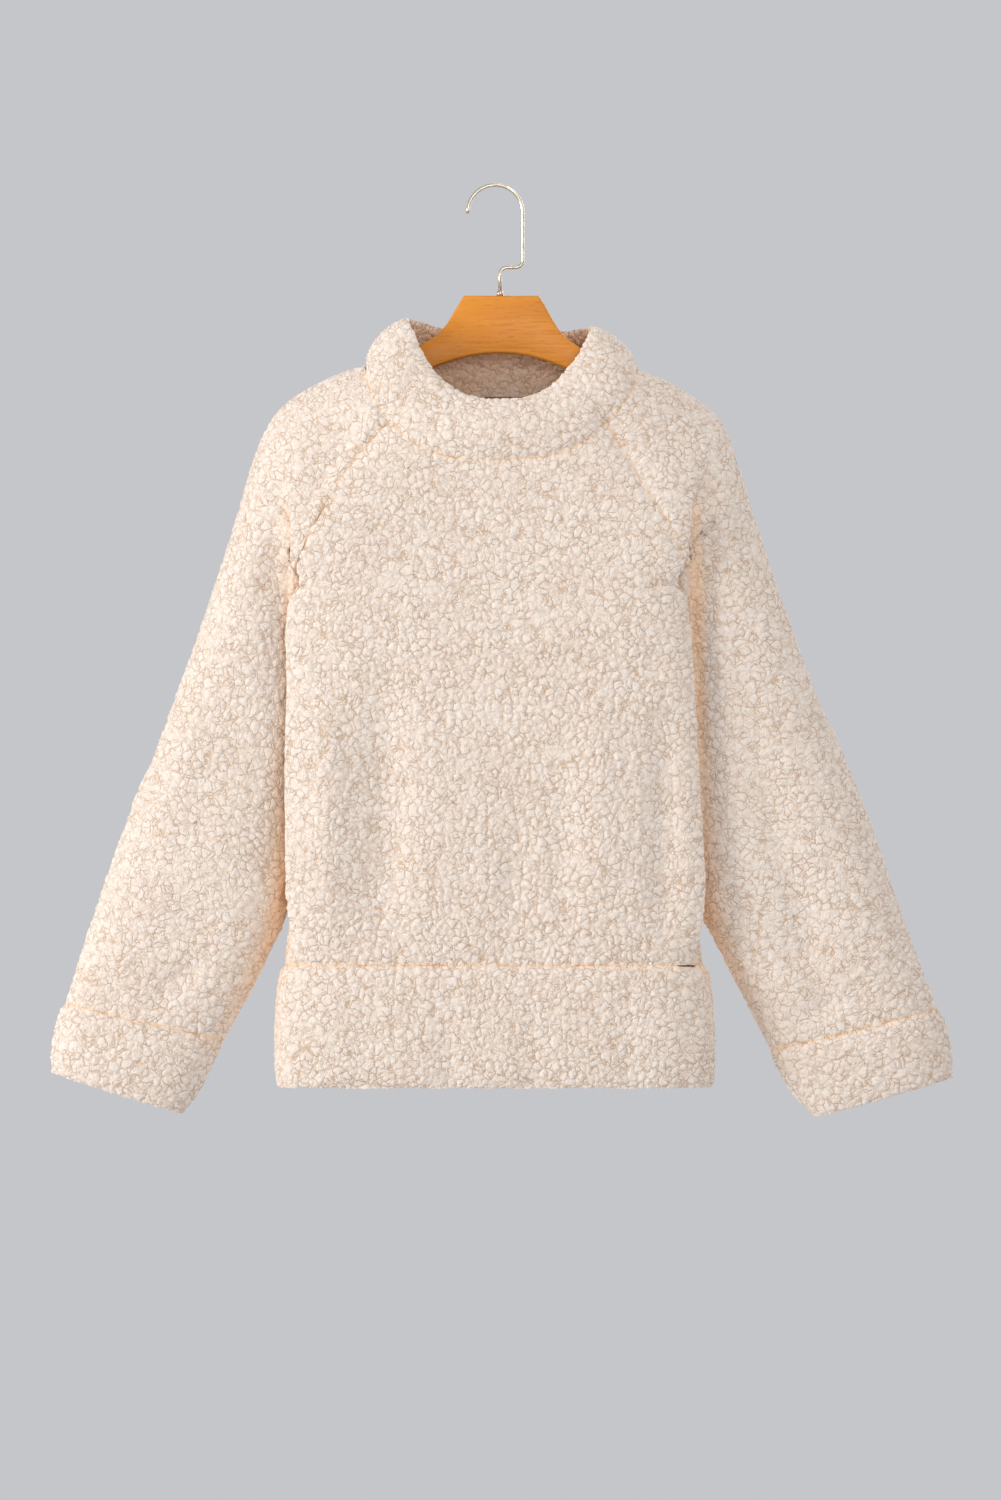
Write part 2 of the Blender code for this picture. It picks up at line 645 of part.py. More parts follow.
def build_hanger():
    """The board's outline in the front view, extruded to its thickness and rounded."""
    right_upper = smooth_through(((HANGER_TOP_RIGHT, HANGER_TOP_Z), *HANGER_RIGHT_UPPER), 2)
    underside = smooth_through((*HANGER_RIGHT_LOWER, ARCH_TOP, *HANGER_LEFT_LOWER), 2)
    left_upper = smooth_through((*HANGER_LEFT_UPPER, (HANGER_TOP_LEFT, HANGER_TOP_Z)), 2)
    right_tip = right_upper[-1] * 0.5 + underside[0] * 0.5 + (HANGER_TIP_ROUNDING, 0)
    left_tip = left_upper[0] * 0.5 + underside[-1] * 0.5 - (HANGER_TIP_ROUNDING, 0)
    outline = np.vstack([right_upper, [right_tip], underside, [left_tip], left_upper])
    bm = bmesh.new()
    verts = [bm.verts.new((x * MM, -BOARD / 2 * MM, z * MM)) for x, z in outline]
    face = bm.faces.new(verts)
    extruded = bmesh.ops.extrude_face_region(bm, geom=[face])
    moved = [item for item in extruded["geom"] if isinstance(item, bmesh.types.BMVert)]
    bmesh.ops.translate(bm, verts=moved, vec=(0, BOARD * MM, 0))
    bmesh.ops.recalc_face_normals(bm, faces=bm.faces)
    rims = [edge for edge in bm.edges if abs(edge.verts[0].co.y - edge.verts[1].co.y) < WELD * MM]
    bmesh.ops.bevel(
        bm, geom=rims, offset=BOARD_ROUNDING * MM, segments=2, profile=0.5,
        affect="EDGES", material=-1, clamp_overlap=True,
    )
    bmesh.ops.triangulate(bm, faces=bm.faces)
    finish("hanger", bm, WOOD)


def arc(centre, radius, start, end):
    """Points along an arc in the front view, angles in degrees."""
    count = max(3, int(abs(math.radians(end - start)) * radius / WIRE_STEP))
    turns = np.radians(np.linspace(start, end, count + 1))
    return [(centre[0] + radius * math.cos(t), centre[1] + radius * math.sin(t)) for t in turns]


def build_hook():
    """The bent wire, and the ferrule that it stands in."""
    top_centre = (0.0, WIRE / 2 - HOOK_RADIUS)
    step_z = HOOK_LEG_END_Z - BEND_RADIUS
    route = arc(top_centre, HOOK_RADIUS, 182, 0)
    route += arc((HOOK_RADIUS - BEND_RADIUS, HOOK_LEG_END_Z), BEND_RADIUS, 0, -90)
    route += arc((HOOK_STEM_X + BEND_RADIUS, step_z - BEND_RADIUS), BEND_RADIUS, 90, 180)
    ferrule_top = HANGER_TOP_Z + PIECE_GAP + FERRULE_HEIGHT
    route.append((HOOK_STEM_X, ferrule_top + PIECE_GAP))
    data = bpy.data.curves.new("hook", "CURVE")
    data.dimensions = "3D"
    data.bevel_depth = WIRE / 2 * MM
    data.bevel_resolution = WIRE_SIDES_RESOLUTION
    data.use_fill_caps = True
    spline = data.splines.new("POLY")
    spline.points.add(len(route) - 1)
    for point, (x, z) in zip(spline.points, route):
        point.co = (x * MM, 0.0, z * MM, 1.0)
    hook = bpy.data.objects.new("hook", data)
    hook.data.materials.append(material(PALE_WIRE))
    bpy.context.scene.collection.objects.link(hook)

    bm = bmesh.new()
    bmesh.ops.create_cone(
        bm, cap_ends=True, segments=FERRULE_SIDES, radius1=FERRULE_RADIUS * MM,
        radius2=FERRULE_RADIUS * FERRULE_TOP_SHARE * MM, depth=FERRULE_HEIGHT * MM,
    )
    middle = HANGER_TOP_Z + PIECE_GAP + FERRULE_HEIGHT / 2
    bmesh.ops.translate(bm, verts=bm.verts, vec=(HOOK_STEM_X * MM, 0, middle * MM))
    finish("hook_ferrule", bm, PALE_WIRE)


def main():
    clear_scene()
    build_garment()
    build_hanger()
    build_hook()


main()
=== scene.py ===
# %% [markdown]
# # A sherpa fleece sweatshirt on its hanger
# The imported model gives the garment's walls, its wooden hanger and its wire hook, all in
# metres with the hook's top at the origin. This notebook dresses them: it turns each plain
# wall into curly sherpa pile, and gives the board its honey stain and the hook its plating.

import math

import bmesh
import bpy
import numpy as np
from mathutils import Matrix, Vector
from mathutils.bvhtree import BVHTree
from mathutils.kdtree import KDTree


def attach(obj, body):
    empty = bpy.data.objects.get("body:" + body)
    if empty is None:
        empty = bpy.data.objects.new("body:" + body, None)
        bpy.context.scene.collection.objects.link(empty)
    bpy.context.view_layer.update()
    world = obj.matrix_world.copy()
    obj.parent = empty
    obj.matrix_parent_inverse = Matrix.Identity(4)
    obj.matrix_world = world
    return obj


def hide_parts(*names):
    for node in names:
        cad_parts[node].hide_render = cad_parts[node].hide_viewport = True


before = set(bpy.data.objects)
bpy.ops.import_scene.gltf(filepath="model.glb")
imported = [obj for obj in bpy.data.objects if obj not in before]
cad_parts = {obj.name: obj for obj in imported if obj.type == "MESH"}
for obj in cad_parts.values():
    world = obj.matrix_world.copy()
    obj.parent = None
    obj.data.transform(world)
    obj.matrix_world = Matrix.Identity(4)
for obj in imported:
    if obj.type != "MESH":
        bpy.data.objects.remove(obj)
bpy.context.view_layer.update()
MM = 0.001
CLOTH = (
    "front", "back", "sleeve_left", "sleeve_right", "collar", "hem_band", "cuff_left", "cuff_right",
)
print("nodes:", sorted(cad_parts))

# %% [markdown]
# ## Camera
# A catalogue picture of hanging clothes is taken from far away with a long lens, so that
# the sleeves don't grow or shrink. The camera is level with the chest. In an upright
# picture Blender measures the sensor along the height, which sets the lens.

# %% Camera
CAMERA_AWAY = 5.0
CAMERA_X, CAMERA_Z = 0.0048, -0.507
PICTURE_HEIGHT = 1.35
camera_data = bpy.data.cameras.new("camera")
camera_data.sensor_width = 36
camera_data.lens = 36 * CAMERA_AWAY / PICTURE_HEIGHT
camera = bpy.data.objects.new("camera", camera_data)
camera.location = (CAMERA_X, -CAMERA_AWAY, CAMERA_Z)
camera.rotation_euler = (math.radians(90), 0, 0)
bpy.context.scene.collection.objects.link(camera)
bpy.context.scene.camera = camera
print("lens", round(camera_data.lens), "mm")

# %% [markdown]
# ## Lamps
# Pile is shaped by light that grazes it. One big soft lamp on the left makes the left edges
# glow and leaves small shadows right of each clump. Weaker ones in front and above soften
# those shadows and reach into the collar, and one behind lights the back.

# %% Lamps
CHEST = (0, 0, -0.45)


def soft_lamp(name, place, size, power, colour=(1, 1, 1)):
    """A square area lamp at place that shines at the chest. Sizes in metres, power in watts."""
    data = bpy.data.lights.new(name, "AREA")
    data.size, data.energy, data.color = size, power, colour
    lamp = bpy.data.objects.new(name, data)
    lamp.location = place
    lamp.rotation_euler = (Vector(CHEST) - Vector(place)).to_track_quat("-Z", "Y").to_euler()
    bpy.context.scene.collection.objects.link(lamp)
    print(name, "lamp:", power, "W")


soft_lamp("key", (-3.8, -1.5, -0.25), 1.7, 115, (1, 0.985, 0.965))
soft_lamp("front", (0.4, -3.3, 0.1), 1.1, 20)
soft_lamp("above", (0.9, -1.3, 1.7), 1.6, 15)
soft_lamp("behind", (0.9, 2.6, 0.5), 2.0, 40)

# %% [markdown]
# ## Surroundings
# Most of the light comes evenly from the grey room. The garment hangs free, so the floor is
# only a pale disc well below it. It belongs to the picture, not the part.

# %% Surroundings
ROOM_GREY = (0.56, 0.565, 0.59, 1)
FLOOR_GREY = (0.6, 0.6, 0.61, 1)
FLOOR_RADIUS = 1.6
FLOOR_Z = -1.6
world = bpy.data.worlds.new("studio")
world.use_nodes = True
world.node_tree.nodes["Background"].inputs["Color"].default_value = ROOM_GREY
world.node_tree.nodes["Background"].inputs["Strength"].default_value = 1.0
bpy.context.scene.world = world
bpy.context.scene.view_settings.view_transform = "Standard"

bpy.ops.mesh.primitive_circle_add(
    vertices=96, radius=FLOOR_RADIUS, fill_type="NGON", location=(0, 0, FLOOR_Z),
)
floor = bpy.context.object
floor.name = "floor"
floor_paint = bpy.data.materials.new("pale floor")
floor_paint.use_nodes = True
floor_paint.node_tree.nodes["Principled BSDF"].inputs["Base Color"].default_value = FLOOR_GREY
floor_paint.node_tree.nodes["Principled BSDF"].inputs["Roughness"].default_value = 0.8
floor.data.materials.append(floor_paint)
print("floor:", FLOOR_RADIUS * 2, "m across")

# %% [markdown]
# ## Small helpers for node chains
# The same chain of texture nodes is needed twice: in a geometry tree, which raises the
# clumps on the mesh, and in the shader, which colours them between its vertices. Noise,
# Voronoi and math nodes exist in both kinds of tree, so one set of helpers serves both.

# %% Node helpers
def plug(tree, value, socket):
    """Links value to a socket, or sets it there when it's a plain number."""
    if isinstance(value, bpy.types.NodeSocket):
        tree.links.new(value, socket)
    else:
        socket.default_value = value


def noise(tree, place, size, detail=1.0, roughness=0.5, distortion=0.0):
    """Soft noise whose blobs are about size metres across."""
    node = tree.nodes.new("ShaderNodeTexNoise")
    tree.links.new(place, node.inputs["Vector"])
    node.inputs["Scale"].default_value = 1 / size
    node.inputs["Detail"].default_value = detail
    node.inputs["Roughness"].default_value = roughness
    node.inputs["Distortion"].default_value = distortion
    return node


def cell_border(tree, place, size):
    """The distance to the border of Voronoi cells about size metres across."""
    node = tree.nodes.new("ShaderNodeTexVoronoi")
    node.feature = "DISTANCE_TO_EDGE"
    tree.links.new(place, node.inputs["Vector"])
    node.inputs["Scale"].default_value = 1 / size
    return node.outputs["Distance"]


def stretch(tree, value, low, high, to_low=0.0, to_high=1.0):
    """Maps low..high smoothly to to_low..to_high."""
    node = tree.nodes.new("ShaderNodeMapRange")
    node.interpolation_type = "SMOOTHSTEP"
    for name, number in (("Value", value), ("From Min", low), ("From Max", high),
                         ("To Min", to_low), ("To Max", to_high)):
        plug(tree, number, node.inputs[name])
    return node.outputs["Result"]


def maths(tree, operation, first, second):
    """One sum on numbers."""
    node = tree.nodes.new("ShaderNodeMath")
    node.operation = operation
    plug(tree, first, node.inputs[0])
    plug(tree, second, node.inputs[1])
    return node.outputs[0]


def vectors(tree, operation, first, second):
    """One sum on vectors."""
    node = tree.nodes.new("ShaderNodeVectorMath")
    node.operation = operation
    plug(tree, first, node.inputs[0])
    plug(tree, second, node.inputs["Scale" if operation == "SCALE" else 1])
    return node.outputs[0]


# %% [markdown]
# ## Small helpers for materials
# Every material here is Blender's Principled shader with a colour that noise varies, so one
# helper makes the blank material and another mixes two colours by a share.

# %% Material helpers
def blank_material(name):
    """A new material, its node tree and its Principled shader."""
    made = bpy.data.materials.new(name)
    made.use_nodes = True
    return made, made.node_tree, made.node_tree.nodes["Principled BSDF"]


def mix_colours(tree, share, first, second):
    """The first colour where share is 0, the second where it is 1."""
    node = tree.nodes.new("ShaderNodeMix")
    node.data_type = "RGBA"
    plug(tree, share, node.inputs["Factor"])
    for socket, colour in ((node.inputs[6], first), (node.inputs[7], second)):
        plug(tree, colour, socket)
    return node.outputs[2]


def add_bump(tree, shader, height, strength, distance):
    """Tilts the shader's normal by a height. The distance is in metres."""
    bump = tree.nodes.new("ShaderNodeBump")
    bump.inputs["Strength"].default_value = strength
    bump.inputs["Distance"].default_value = distance
    tree.links.new(height, bump.inputs["Height"])
    tree.links.new(bump.outputs[0], shader.inputs["Normal"])


# %% [markdown]
# ## The pile's pattern
# Sherpa pile is knitted as loops that are then tumbled until they clot into clumps, about
# 7 mm across, with broken cracks between them where the backing nearly shows; the fleece
# colours them brown, partly the backing and partly painted shade. Bent Voronoi cells give
# such clumps: the distance to a cell's border makes its dome, smaller cells make the curls
# on it, and noise closes some of the cracks.

# %% Pile pattern
CLUMP = 7.4 * MM
CURL = 3.7 * MM
DRIFT_SIZE, DRIFT = 11 * MM, 10 * MM
WAVER_SIZE, WAVER = 3.2 * MM, 4.2 * MM
BROKEN_SIZE = 10 * MM
PARTED_SIZE = 6 * MM
DOME_SHARE = 0.62


def bend(tree, place, size, amount):
    """How far noise about size across moves a place, up to half of amount each way."""
    push = vectors(tree, "SUBTRACT", noise(tree, place, size, 2).outputs["Color"], (0.5, 0.5, 0.5))
    return vectors(tree, "SCALE", push, amount)


def pile_pattern(tree, place):
    """(height from 0 to 1, crack from 0 to 1) of the pile at a place on the cloth."""
    bent = vectors(tree, "ADD", place, bend(tree, place, DRIFT_SIZE, DRIFT))
    bent = vectors(tree, "ADD", bent, bend(tree, place, WAVER_SIZE, WAVER))
    border = cell_border(tree, bent, CLUMP)
    curl_border = cell_border(tree, bent, CURL)
    dome = stretch(tree, border, 0.0, 0.22)
    curl = stretch(tree, curl_border, 0.0, 0.28)
    broken = stretch(tree, noise(tree, place, BROKEN_SIZE, 2).outputs[0], 0.36, 0.58)
    parted = stretch(tree, noise(tree, place, PARTED_SIZE, 2).outputs[0], 0.46, 0.62, 0.0, 0.55)
    crack = maths(
        tree, "MAXIMUM",
        maths(tree, "MULTIPLY", stretch(tree, border, 0.0, 0.068, 1.0, 0.0), broken),
        maths(tree, "MULTIPLY", stretch(tree, curl_border, 0.0, 0.115, 1.0, 0.0), parted),
    )
    height = maths(
        tree, "ADD",
        maths(tree, "MULTIPLY", dome, DOME_SHARE),
        maths(tree, "MULTIPLY", curl, 1 - DOME_SHARE),
    )
    return height, crack


print("clumps", CLUMP / MM, "mm, curls", CURL / MM, "mm")

# %% [markdown]
# ## The pattern on the mesh
# A Geometry Nodes tree works the pattern out for every vertex and stores it as two named
# attributes. A Displace modifier could only read an old texture, not this chain.

# %% Pile height on vertices
def pile_tree():
    """A geometry tree that writes the pile's height and cracks on each vertex."""
    tree = bpy.data.node_groups.new("pile height", "GeometryNodeTree")
    tree.interface.new_socket("Geometry", in_out="INPUT", socket_type="NodeSocketGeometry")
    tree.interface.new_socket("Geometry", in_out="OUTPUT", socket_type="NodeSocketGeometry")
    geometry = tree.nodes.new("NodeGroupInput").outputs[0]
    end = tree.nodes.new("NodeGroupOutput")
    height, crack = pile_pattern(tree, tree.nodes.new("GeometryNodeInputPosition").outputs[0])
    for name, value in (("height", height), ("crack", crack)):
        store = tree.nodes.new("GeometryNodeStoreNamedAttribute")
        store.data_type, store.domain = "FLOAT", "POINT"
        tree.links.new(geometry, store.inputs["Geometry"])
        store.inputs["Name"].default_value = name
        tree.links.new(value, store.inputs["Value"])
        geometry = store.outputs["Geometry"]
    tree.links.new(geometry, end.inputs[0])
    return tree


PILE_TREE = pile_tree()
print("pile height tree:", len(PILE_TREE.nodes), "nodes")

# %% [markdown]
# ## Fleece
# The fibres are ivory, and the cracks between the clumps are brown, partly the backing's own
# colour and partly painted shade. The shader reads where each point lay on the smooth cloth,
# so its pattern meets the mesh's clumps, and how open that place is: closed places get a
# painted warm and tan shade, standing in for light that has passed through other fibres.
# The feet of the clumps and the dips between single curls get painted shade too. Fine noise
# adds the single curls as bump, and sheen gives the soft bright edge of pile.

# %% Fleece material
IVORY, IVORY_DULL = (0.905, 0.808, 0.72, 1), (0.87, 0.762, 0.668, 1)
# Painted shade: warm where a place is closed, deeper tan-brown where it is closed most.
PAINTED_WARM_SHADE = (0.97, 0.69, 0.47, 1)
PAINTED_DEEP_SHADE = (0.52, 0.29, 0.16, 1)
# Painted shade on the low feet of the clumps, where the pile's height is small.
CLUMP_FOOT_PAINTED_SHADE = (0.79, 0.585, 0.42, 1)
FIBRE_SHADE = (0.70, 0.56, 0.45, 1)
# Cracks: partly the backing's brown, partly painted shade in the gaps between clumps.
CRACK_BACKING_AND_SHADE = (0.55, 0.325, 0.165, 1)
FIBRE_SIZE = 1.6 * MM
TONE_SIZE = 50 * MM


def attribute_node(tree, name):
    """The node that reads a named attribute of the mesh."""
    node = tree.nodes.new("ShaderNodeAttribute")
    node.attribute_name = name
    return node


def fleece_material():
    """Curly ivory sherpa."""
    made, tree, shader = blank_material("ivory sherpa fleece")
    place = attribute_node(tree, "rest").outputs["Vector"]
    openness = attribute_node(tree, "open").outputs["Fac"]
    height, crack = pile_pattern(tree, place)
    tone = noise(tree, place, TONE_SIZE, 3).outputs[0]
    fibre = noise(tree, place, FIBRE_SIZE, 3, 0.7, 0.6).outputs[0]
    colour = mix_colours(tree, stretch(tree, tone, 0.35, 0.7), IVORY, IVORY_DULL)
    # Each mix paints shade: warm and deep by openness, at the clumps' feet, between curls, and in the
    # cracks.
    for share, towards in (
        (stretch(tree, openness, 0.3, 0.92, 1.0, 0.0), PAINTED_WARM_SHADE),
        (stretch(tree, openness, -0.35, 0.2, 0.9, 0.0), PAINTED_DEEP_SHADE),
        (stretch(tree, height, 0.0, 0.5, 0.42, 0.0), CLUMP_FOOT_PAINTED_SHADE),
        (stretch(tree, fibre, 0.35, 0.65, 0.35, 0.0), FIBRE_SHADE),
        (maths(tree, "MULTIPLY", crack, 0.72), CRACK_BACKING_AND_SHADE),
    ):
        colour = mix_colours(tree, share, colour, towards)
    tree.links.new(colour, shader.inputs["Base Color"])
    raised = maths(tree, "ADD", height, maths(tree, "MULTIPLY", fibre, 0.7))
    raised = maths(tree, "SUBTRACT", raised, maths(tree, "MULTIPLY", crack, 0.5))
    add_bump(tree, shader, raised, 0.75, 0.8 * MM)
    shader.inputs["Roughness"].default_value = 0.95
    shader.inputs["Specular IOR Level"].default_value = 0.15
    shader.inputs["Sheen Weight"].default_value = 0.25
    shader.inputs["Sheen Roughness"].default_value = 0.6
    shader.inputs["Sheen Tint"].default_value = (1.0, 0.95, 0.88, 1)
    return made


FLEECE = fleece_material()
print(FLEECE.name + ":", len(FLEECE.node_tree.nodes), "nodes")

# %% [markdown]
# ## Merged walls
# Each cloth node is a closed wall of loose triangles. Its copy is merged at the corners, and
# pairs of triangles are joined to quads, which a Subdivision Surface smooths far better.

# %% Merged walls
def merged_wall(name):
    """A copy of a cloth node with its triangles merged back into quads."""
    bm = bmesh.new()
    bm.from_mesh(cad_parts[name].data)
    bmesh.ops.remove_doubles(bm, verts=bm.verts, dist=0.01 * MM)
    bmesh.ops.join_triangles(
        bm, faces=bm.faces,
        angle_face_threshold=math.radians(45), angle_shape_threshold=math.radians(75),
    )
    bm.normal_update()
    return bm


walls = {name: merged_wall(name) for name in CLOTH}
print("faces of the walls:", {name: len(bm.faces) for name, bm in walls.items()})

# %% [markdown]
# ## Which side of the wall shows
# Only the side that can be seen deserves fine pile. A face that shows is one from which some
# straight lines run off into the room, so a fan of rays is cast from every face against the
# whole garment. They start a little above the face, because a quad isn't quite flat.

# %% Find what shows
RAYS = 28
FREE_RAYS = 3
SHOW_LIFT = 2.0 * MM
LOWEST_RAY = 0.25


def ray_fan(count):
    """Directions spread evenly over the room above a level surface."""
    fan = []
    for index in range(count):
        up = LOWEST_RAY + (1 - LOWEST_RAY) * (index + 0.5) / count
        around = index * math.pi * (3 - math.sqrt(5))
        out = math.sqrt(1 - up * up)
        fan.append(Vector((out * math.cos(around), out * math.sin(around), up)))
    return fan


def free_share(surface, face, fan, lift):
    """The share of the fan's rays that leave a face, from lift above it, and meet nothing."""
    turn = face.normal.to_track_quat("Z", "Y")
    start = face.calc_center_median() + face.normal * lift
    return sum(surface.ray_cast(start, turn @ ray)[0] is None for ray in fan) / len(fan)


def tree_of_walls(bms):
    """One ray-casting tree of several meshes."""
    points, polygons = [], []
    for bm in bms:
        first = len(points)
        bm.verts.index_update()
        points += [vert.co.copy() for vert in bm.verts]
        polygons += [[first + vert.index for vert in face.verts] for face in bm.faces]
    return BVHTree.FromPolygons(points, polygons)


garment = tree_of_walls(walls.values())
rays = ray_fan(RAYS)
for name, bm in walls.items():
    shows = bm.faces.layers.int.new("shows")
    for face in bm.faces:
        face[shows] = int(free_share(garment, face, rays, SHOW_LIFT) * RAYS >= FREE_RAYS)
    print(name, "faces that show:", sum(face[shows] for face in bm.faces), "of", len(bm.faces))

# %% [markdown]
# ## Folds
# The walls hang with their main creases. Softer troughs and ridges come on top, each one
# given as a line of (x, z, depth) points in the front view, and its half width, in
# millimetres. A negative depth is a ridge. The deep tucks run up from the underarms, where
# the sleeve sinks behind the shoulder's cloth. Their lines run downwards and have two half
# widths, left and right of the line in the front view, so one side is steep.

# %% Folds of the front
FRONT_SOFT_FOLDS = (
    # troughs and ridges that hang down the body
    (((-98, -400, 0), (-98, -490, 5), (-97, -600, 6.5), (-102, -684, 0)), 21),
    (((-150, -440, 0), (-150, -520, -2.5), (-150, -640, -2), (-150, -684, 0)), 14),
    (((58, -510, 0), (60, -600, 2.6), (58, -684, 0)), 13),
    (((16, -540, 0), (18, -620, 2.2), (12, -684, 0)), 14),
    (((92, -430, 0), (94, -520, -3), (98, -600, -2.5), (96, -680, 0)), 20),
    (((122, -440, 0), (124, -540, -2.5), (124, -640, -2), (124, -684, 0)), 15),
    (((150, -440, 0), (151, -540, 4.5), (150, -640, 4), (150, -684, 0)), 13),
    # drags at the underarms and the shoulder
    (((-172, -400, 0), (-150, -440, 1.6), (-122, -470, 0)), 12),
    (((160, -395, 0), (140, -430, 1.6), (116, -455, 0)), 12),
    (((-150, -215, 0), (-165, -255, 2.5), (-176, -300, 1)), 14),
    # waves of the hem band
    (((-40, -700, 0), (-44, -760, 1.6), (-42, -806, 1.8)), 13),
    (((36, -700, 0), (32, -760, 1.4), (36, -806, 1.6)), 15),
    (((120, -706, 0), (118, -760, 1.5), (122, -806, 1.2)), 12),
    (((-120, -706, 0), (-116, -770, 1.2), (-120, -806, 1.5)), 16),
)
SLEEVE_SOFT_FOLDS = (
    # the deep tucks, and the hollow of the shoulder
    (((-193, -232, 0), (-190, -262, 4), (-187, -305, 7), (-185, -360, 7), (-186, -410, 5),
      (-186, -480, 0)), (26, 2.6)),
    (((196, -232, 0), (188, -262, 5), (180, -290, 9), (177, -325, 10), (176, -365, 11),
      (177, -410, 9), (180, -480, 7), (185, -560, 5), (189, -660, 0)), (2.6, 20)),
    (((-118, -200, 0), (-130, -225, 5), (-150, -265, 5.5), (-166, -305, 3), (-172, -335, 0)), (30, 12)),
    # folds of the left sleeve
    (((-318, -748, 0), (-282, -712, 4.5), (-250, -684, 0)), 12),
    (((-300, -640, 0), (-262, -668, 1.8), (-236, -690, 0)), 12),
    (((-246, -470, 0), (-262, -540, 2.0), (-296, -620, 0)), 16),
    (((-352, -700, 0), (-345, -735, 2.0), (-352, -768, 0.5)), 12),
    # folds of the right sleeve, and the last one again on the left
    (((222, -470, 0), (246, -560, 2.8), (276, -650, 3.2), (296, -760, 1.5)), 15),
    (((240, -672, 0), (262, -690, 2.6), (290, -700, 0)), 11),
    (((262, -748, 0), (300, -736, 2.2), (340, -722, 0)), 9),
    (((300, -560, 0), (330, -640, -1.5), (352, -700, 0)), 22),
    (((222, -250, 0), (230, -300, 2.0), (232, -350, 0)), 12),
    (((-222, -260, 0), (-228, -310, 1.6), (-226, -360, 0)), 12),
)
print("folds in front:", len(FRONT_SOFT_FOLDS), "and", len(SLEEVE_SOFT_FOLDS), "on the sleeves")

# %% [markdown]
# ## Folds behind
# No picture shows the back. It hangs from the same board, so it gets troughs and drags of
# the same kind, in other places, and milder tucks behind the arms.

# %% Folds of the back
BACK_SOFT_FOLDS = (
    # troughs that hang down the body, and one drag between the shoulders
    (((-110, -420, 0), (-112, -530, 2.4), (-106, -650, 1.5)), 15),
    (((20, -480, 0), (16, -580, 2.2), (22, -690, 0.5)), 17),
    (((118, -430, 0), (122, -540, 2.4), (126, -660, 1)), 14),
    (((-60, -260, 0), (-20, -285, 1.8), (40, -262, 0)), 15),
    # drags at the underarms
    (((-160, -395, 0), (-130, -425, 1.6), (-96, -440, 0)), 13),
    (((150, -395, 0), (126, -425, 1.6), (90, -440, 0)), 13),
    # waves of the hem band
    (((-70, -706, 0), (-74, -760, 1.5), (-70, -806, 1.6)), 14),
    (((64, -706, 0), (60, -760, 1.5), (66, -806, 1.4)), 14),
    # folds of the sleeves
    (((-300, -745, 0), (-272, -716, 3.0), (-250, -690, 0)), 12),
    (((262, -700, 0), (290, -722, 2.8), (320, -750, 0)), 12),
    (((-230, -440, 0), (-256, -540, 2.2), (-290, -640, 0)), 15),
    (((226, -440, 0), (250, -540, 2.4), (286, -650, 0)), 15),
    # tucks behind the arms
    (((-200, -246, 0), (-194, -280, 3), (-190, -330, 4), (-188, -380, 3), (-190, -450, 0)), (18, 8)),
    (((196, -240, 0), (189, -285, 3), (184, -335, 4), (181, -390, 3), (184, -460, 0)), (8, 18)),
)
print("folds behind:", len(BACK_SOFT_FOLDS))

# %% [markdown]
# ## Pressing a fold
# A fold's depth runs along its line and fades to both sides as a bell curve, which is the
# shape that thick fleece takes. Each vertex asks for the nearest stretch of the line.

# %% Press folds
def press_folds(points, facing, folds):
    """How far each point sinks into its folds, in metres. facing is 0 on the other side."""
    flat = points[:, [0, 2]] / MM
    total = np.zeros(len(points))
    for line, half_width in folds:
        left, right = half_width if isinstance(half_width, tuple) else (half_width, half_width)
        nearest = np.full(len(points), np.inf)
        depth = np.zeros(len(points))
        width = np.ones(len(points))
        for start, end in zip(line, line[1:]):
            start, end = np.array(start, float), np.array(end, float)
            span = end[:2] - start[:2]
            offset = flat - start[:2]
            share = np.clip((offset @ span) / (span @ span), 0, 1)
            away = np.linalg.norm(offset - share[:, None] * span, axis=1)
            side = np.where(span[0] * offset[:, 1] - span[1] * offset[:, 0] > 0, right, left)
            closer = away < nearest
            nearest = np.where(closer, away, nearest)
            depth = np.where(closer, start[2] + (end[2] - start[2]) * share, depth)
            width = np.where(closer, side, width)
        total += depth * np.exp(-((nearest / width) ** 2))
    return total * MM * facing


# %% [markdown]
# ## From wall to smooth cloth
# A Subdivision Surface makes the wall smooth again, with its seam edges creased so that
# neighbours keep meeting.

# %% Smooth the walls
SEAM_ANGLE = math.radians(66)
SMOOTH_LEVELS = 2


def mesh_of(bm, name):
    """A new mesh of what a bmesh holds, which is freed."""
    mesh = bpy.data.meshes.new(name)
    bm.to_mesh(mesh)
    bm.free()
    return mesh


def baked(obj):
    """The object's mesh with its modifiers applied, and the modifiers gone."""
    graph = bpy.context.evaluated_depsgraph_get()
    mesh = bpy.data.meshes.new_from_object(
        obj.evaluated_get(graph), preserve_all_data_layers=True, depsgraph=graph,
    )
    obj.modifiers.clear()
    obj.data = mesh
    return mesh


def smooth_wall(name):
    """The wall under its levels of subdivision, as an object of its own."""
    bm = walls[name]
    crease = bm.edges.layers.float.new("crease_edge")
    for edge in bm.edges:
        if edge.calc_face_angle(0) > SEAM_ANGLE:
            edge[crease] = 1.0
    obj = bpy.data.objects.new(name + "_pile", mesh_of(bm, name + "_pile"))
    bpy.context.scene.collection.objects.link(obj)
    smoothing = obj.modifiers.new("smooth", "SUBSURF")
    smoothing.levels = smoothing.render_levels = SMOOTH_LEVELS
    baked(obj)
    return obj


pieces = {name: smooth_wall(name) for name in CLOTH}
print("smooth faces:", sum(len(obj.data.polygons) for obj in pieces.values()))

# %% [markdown]
# ## The collar's rim
# The funnel collar doesn't stand level: on the left its rim is pushed up by the board. The
# rim's vertices are lifted by an amount that grows smoothly with height and to the left.

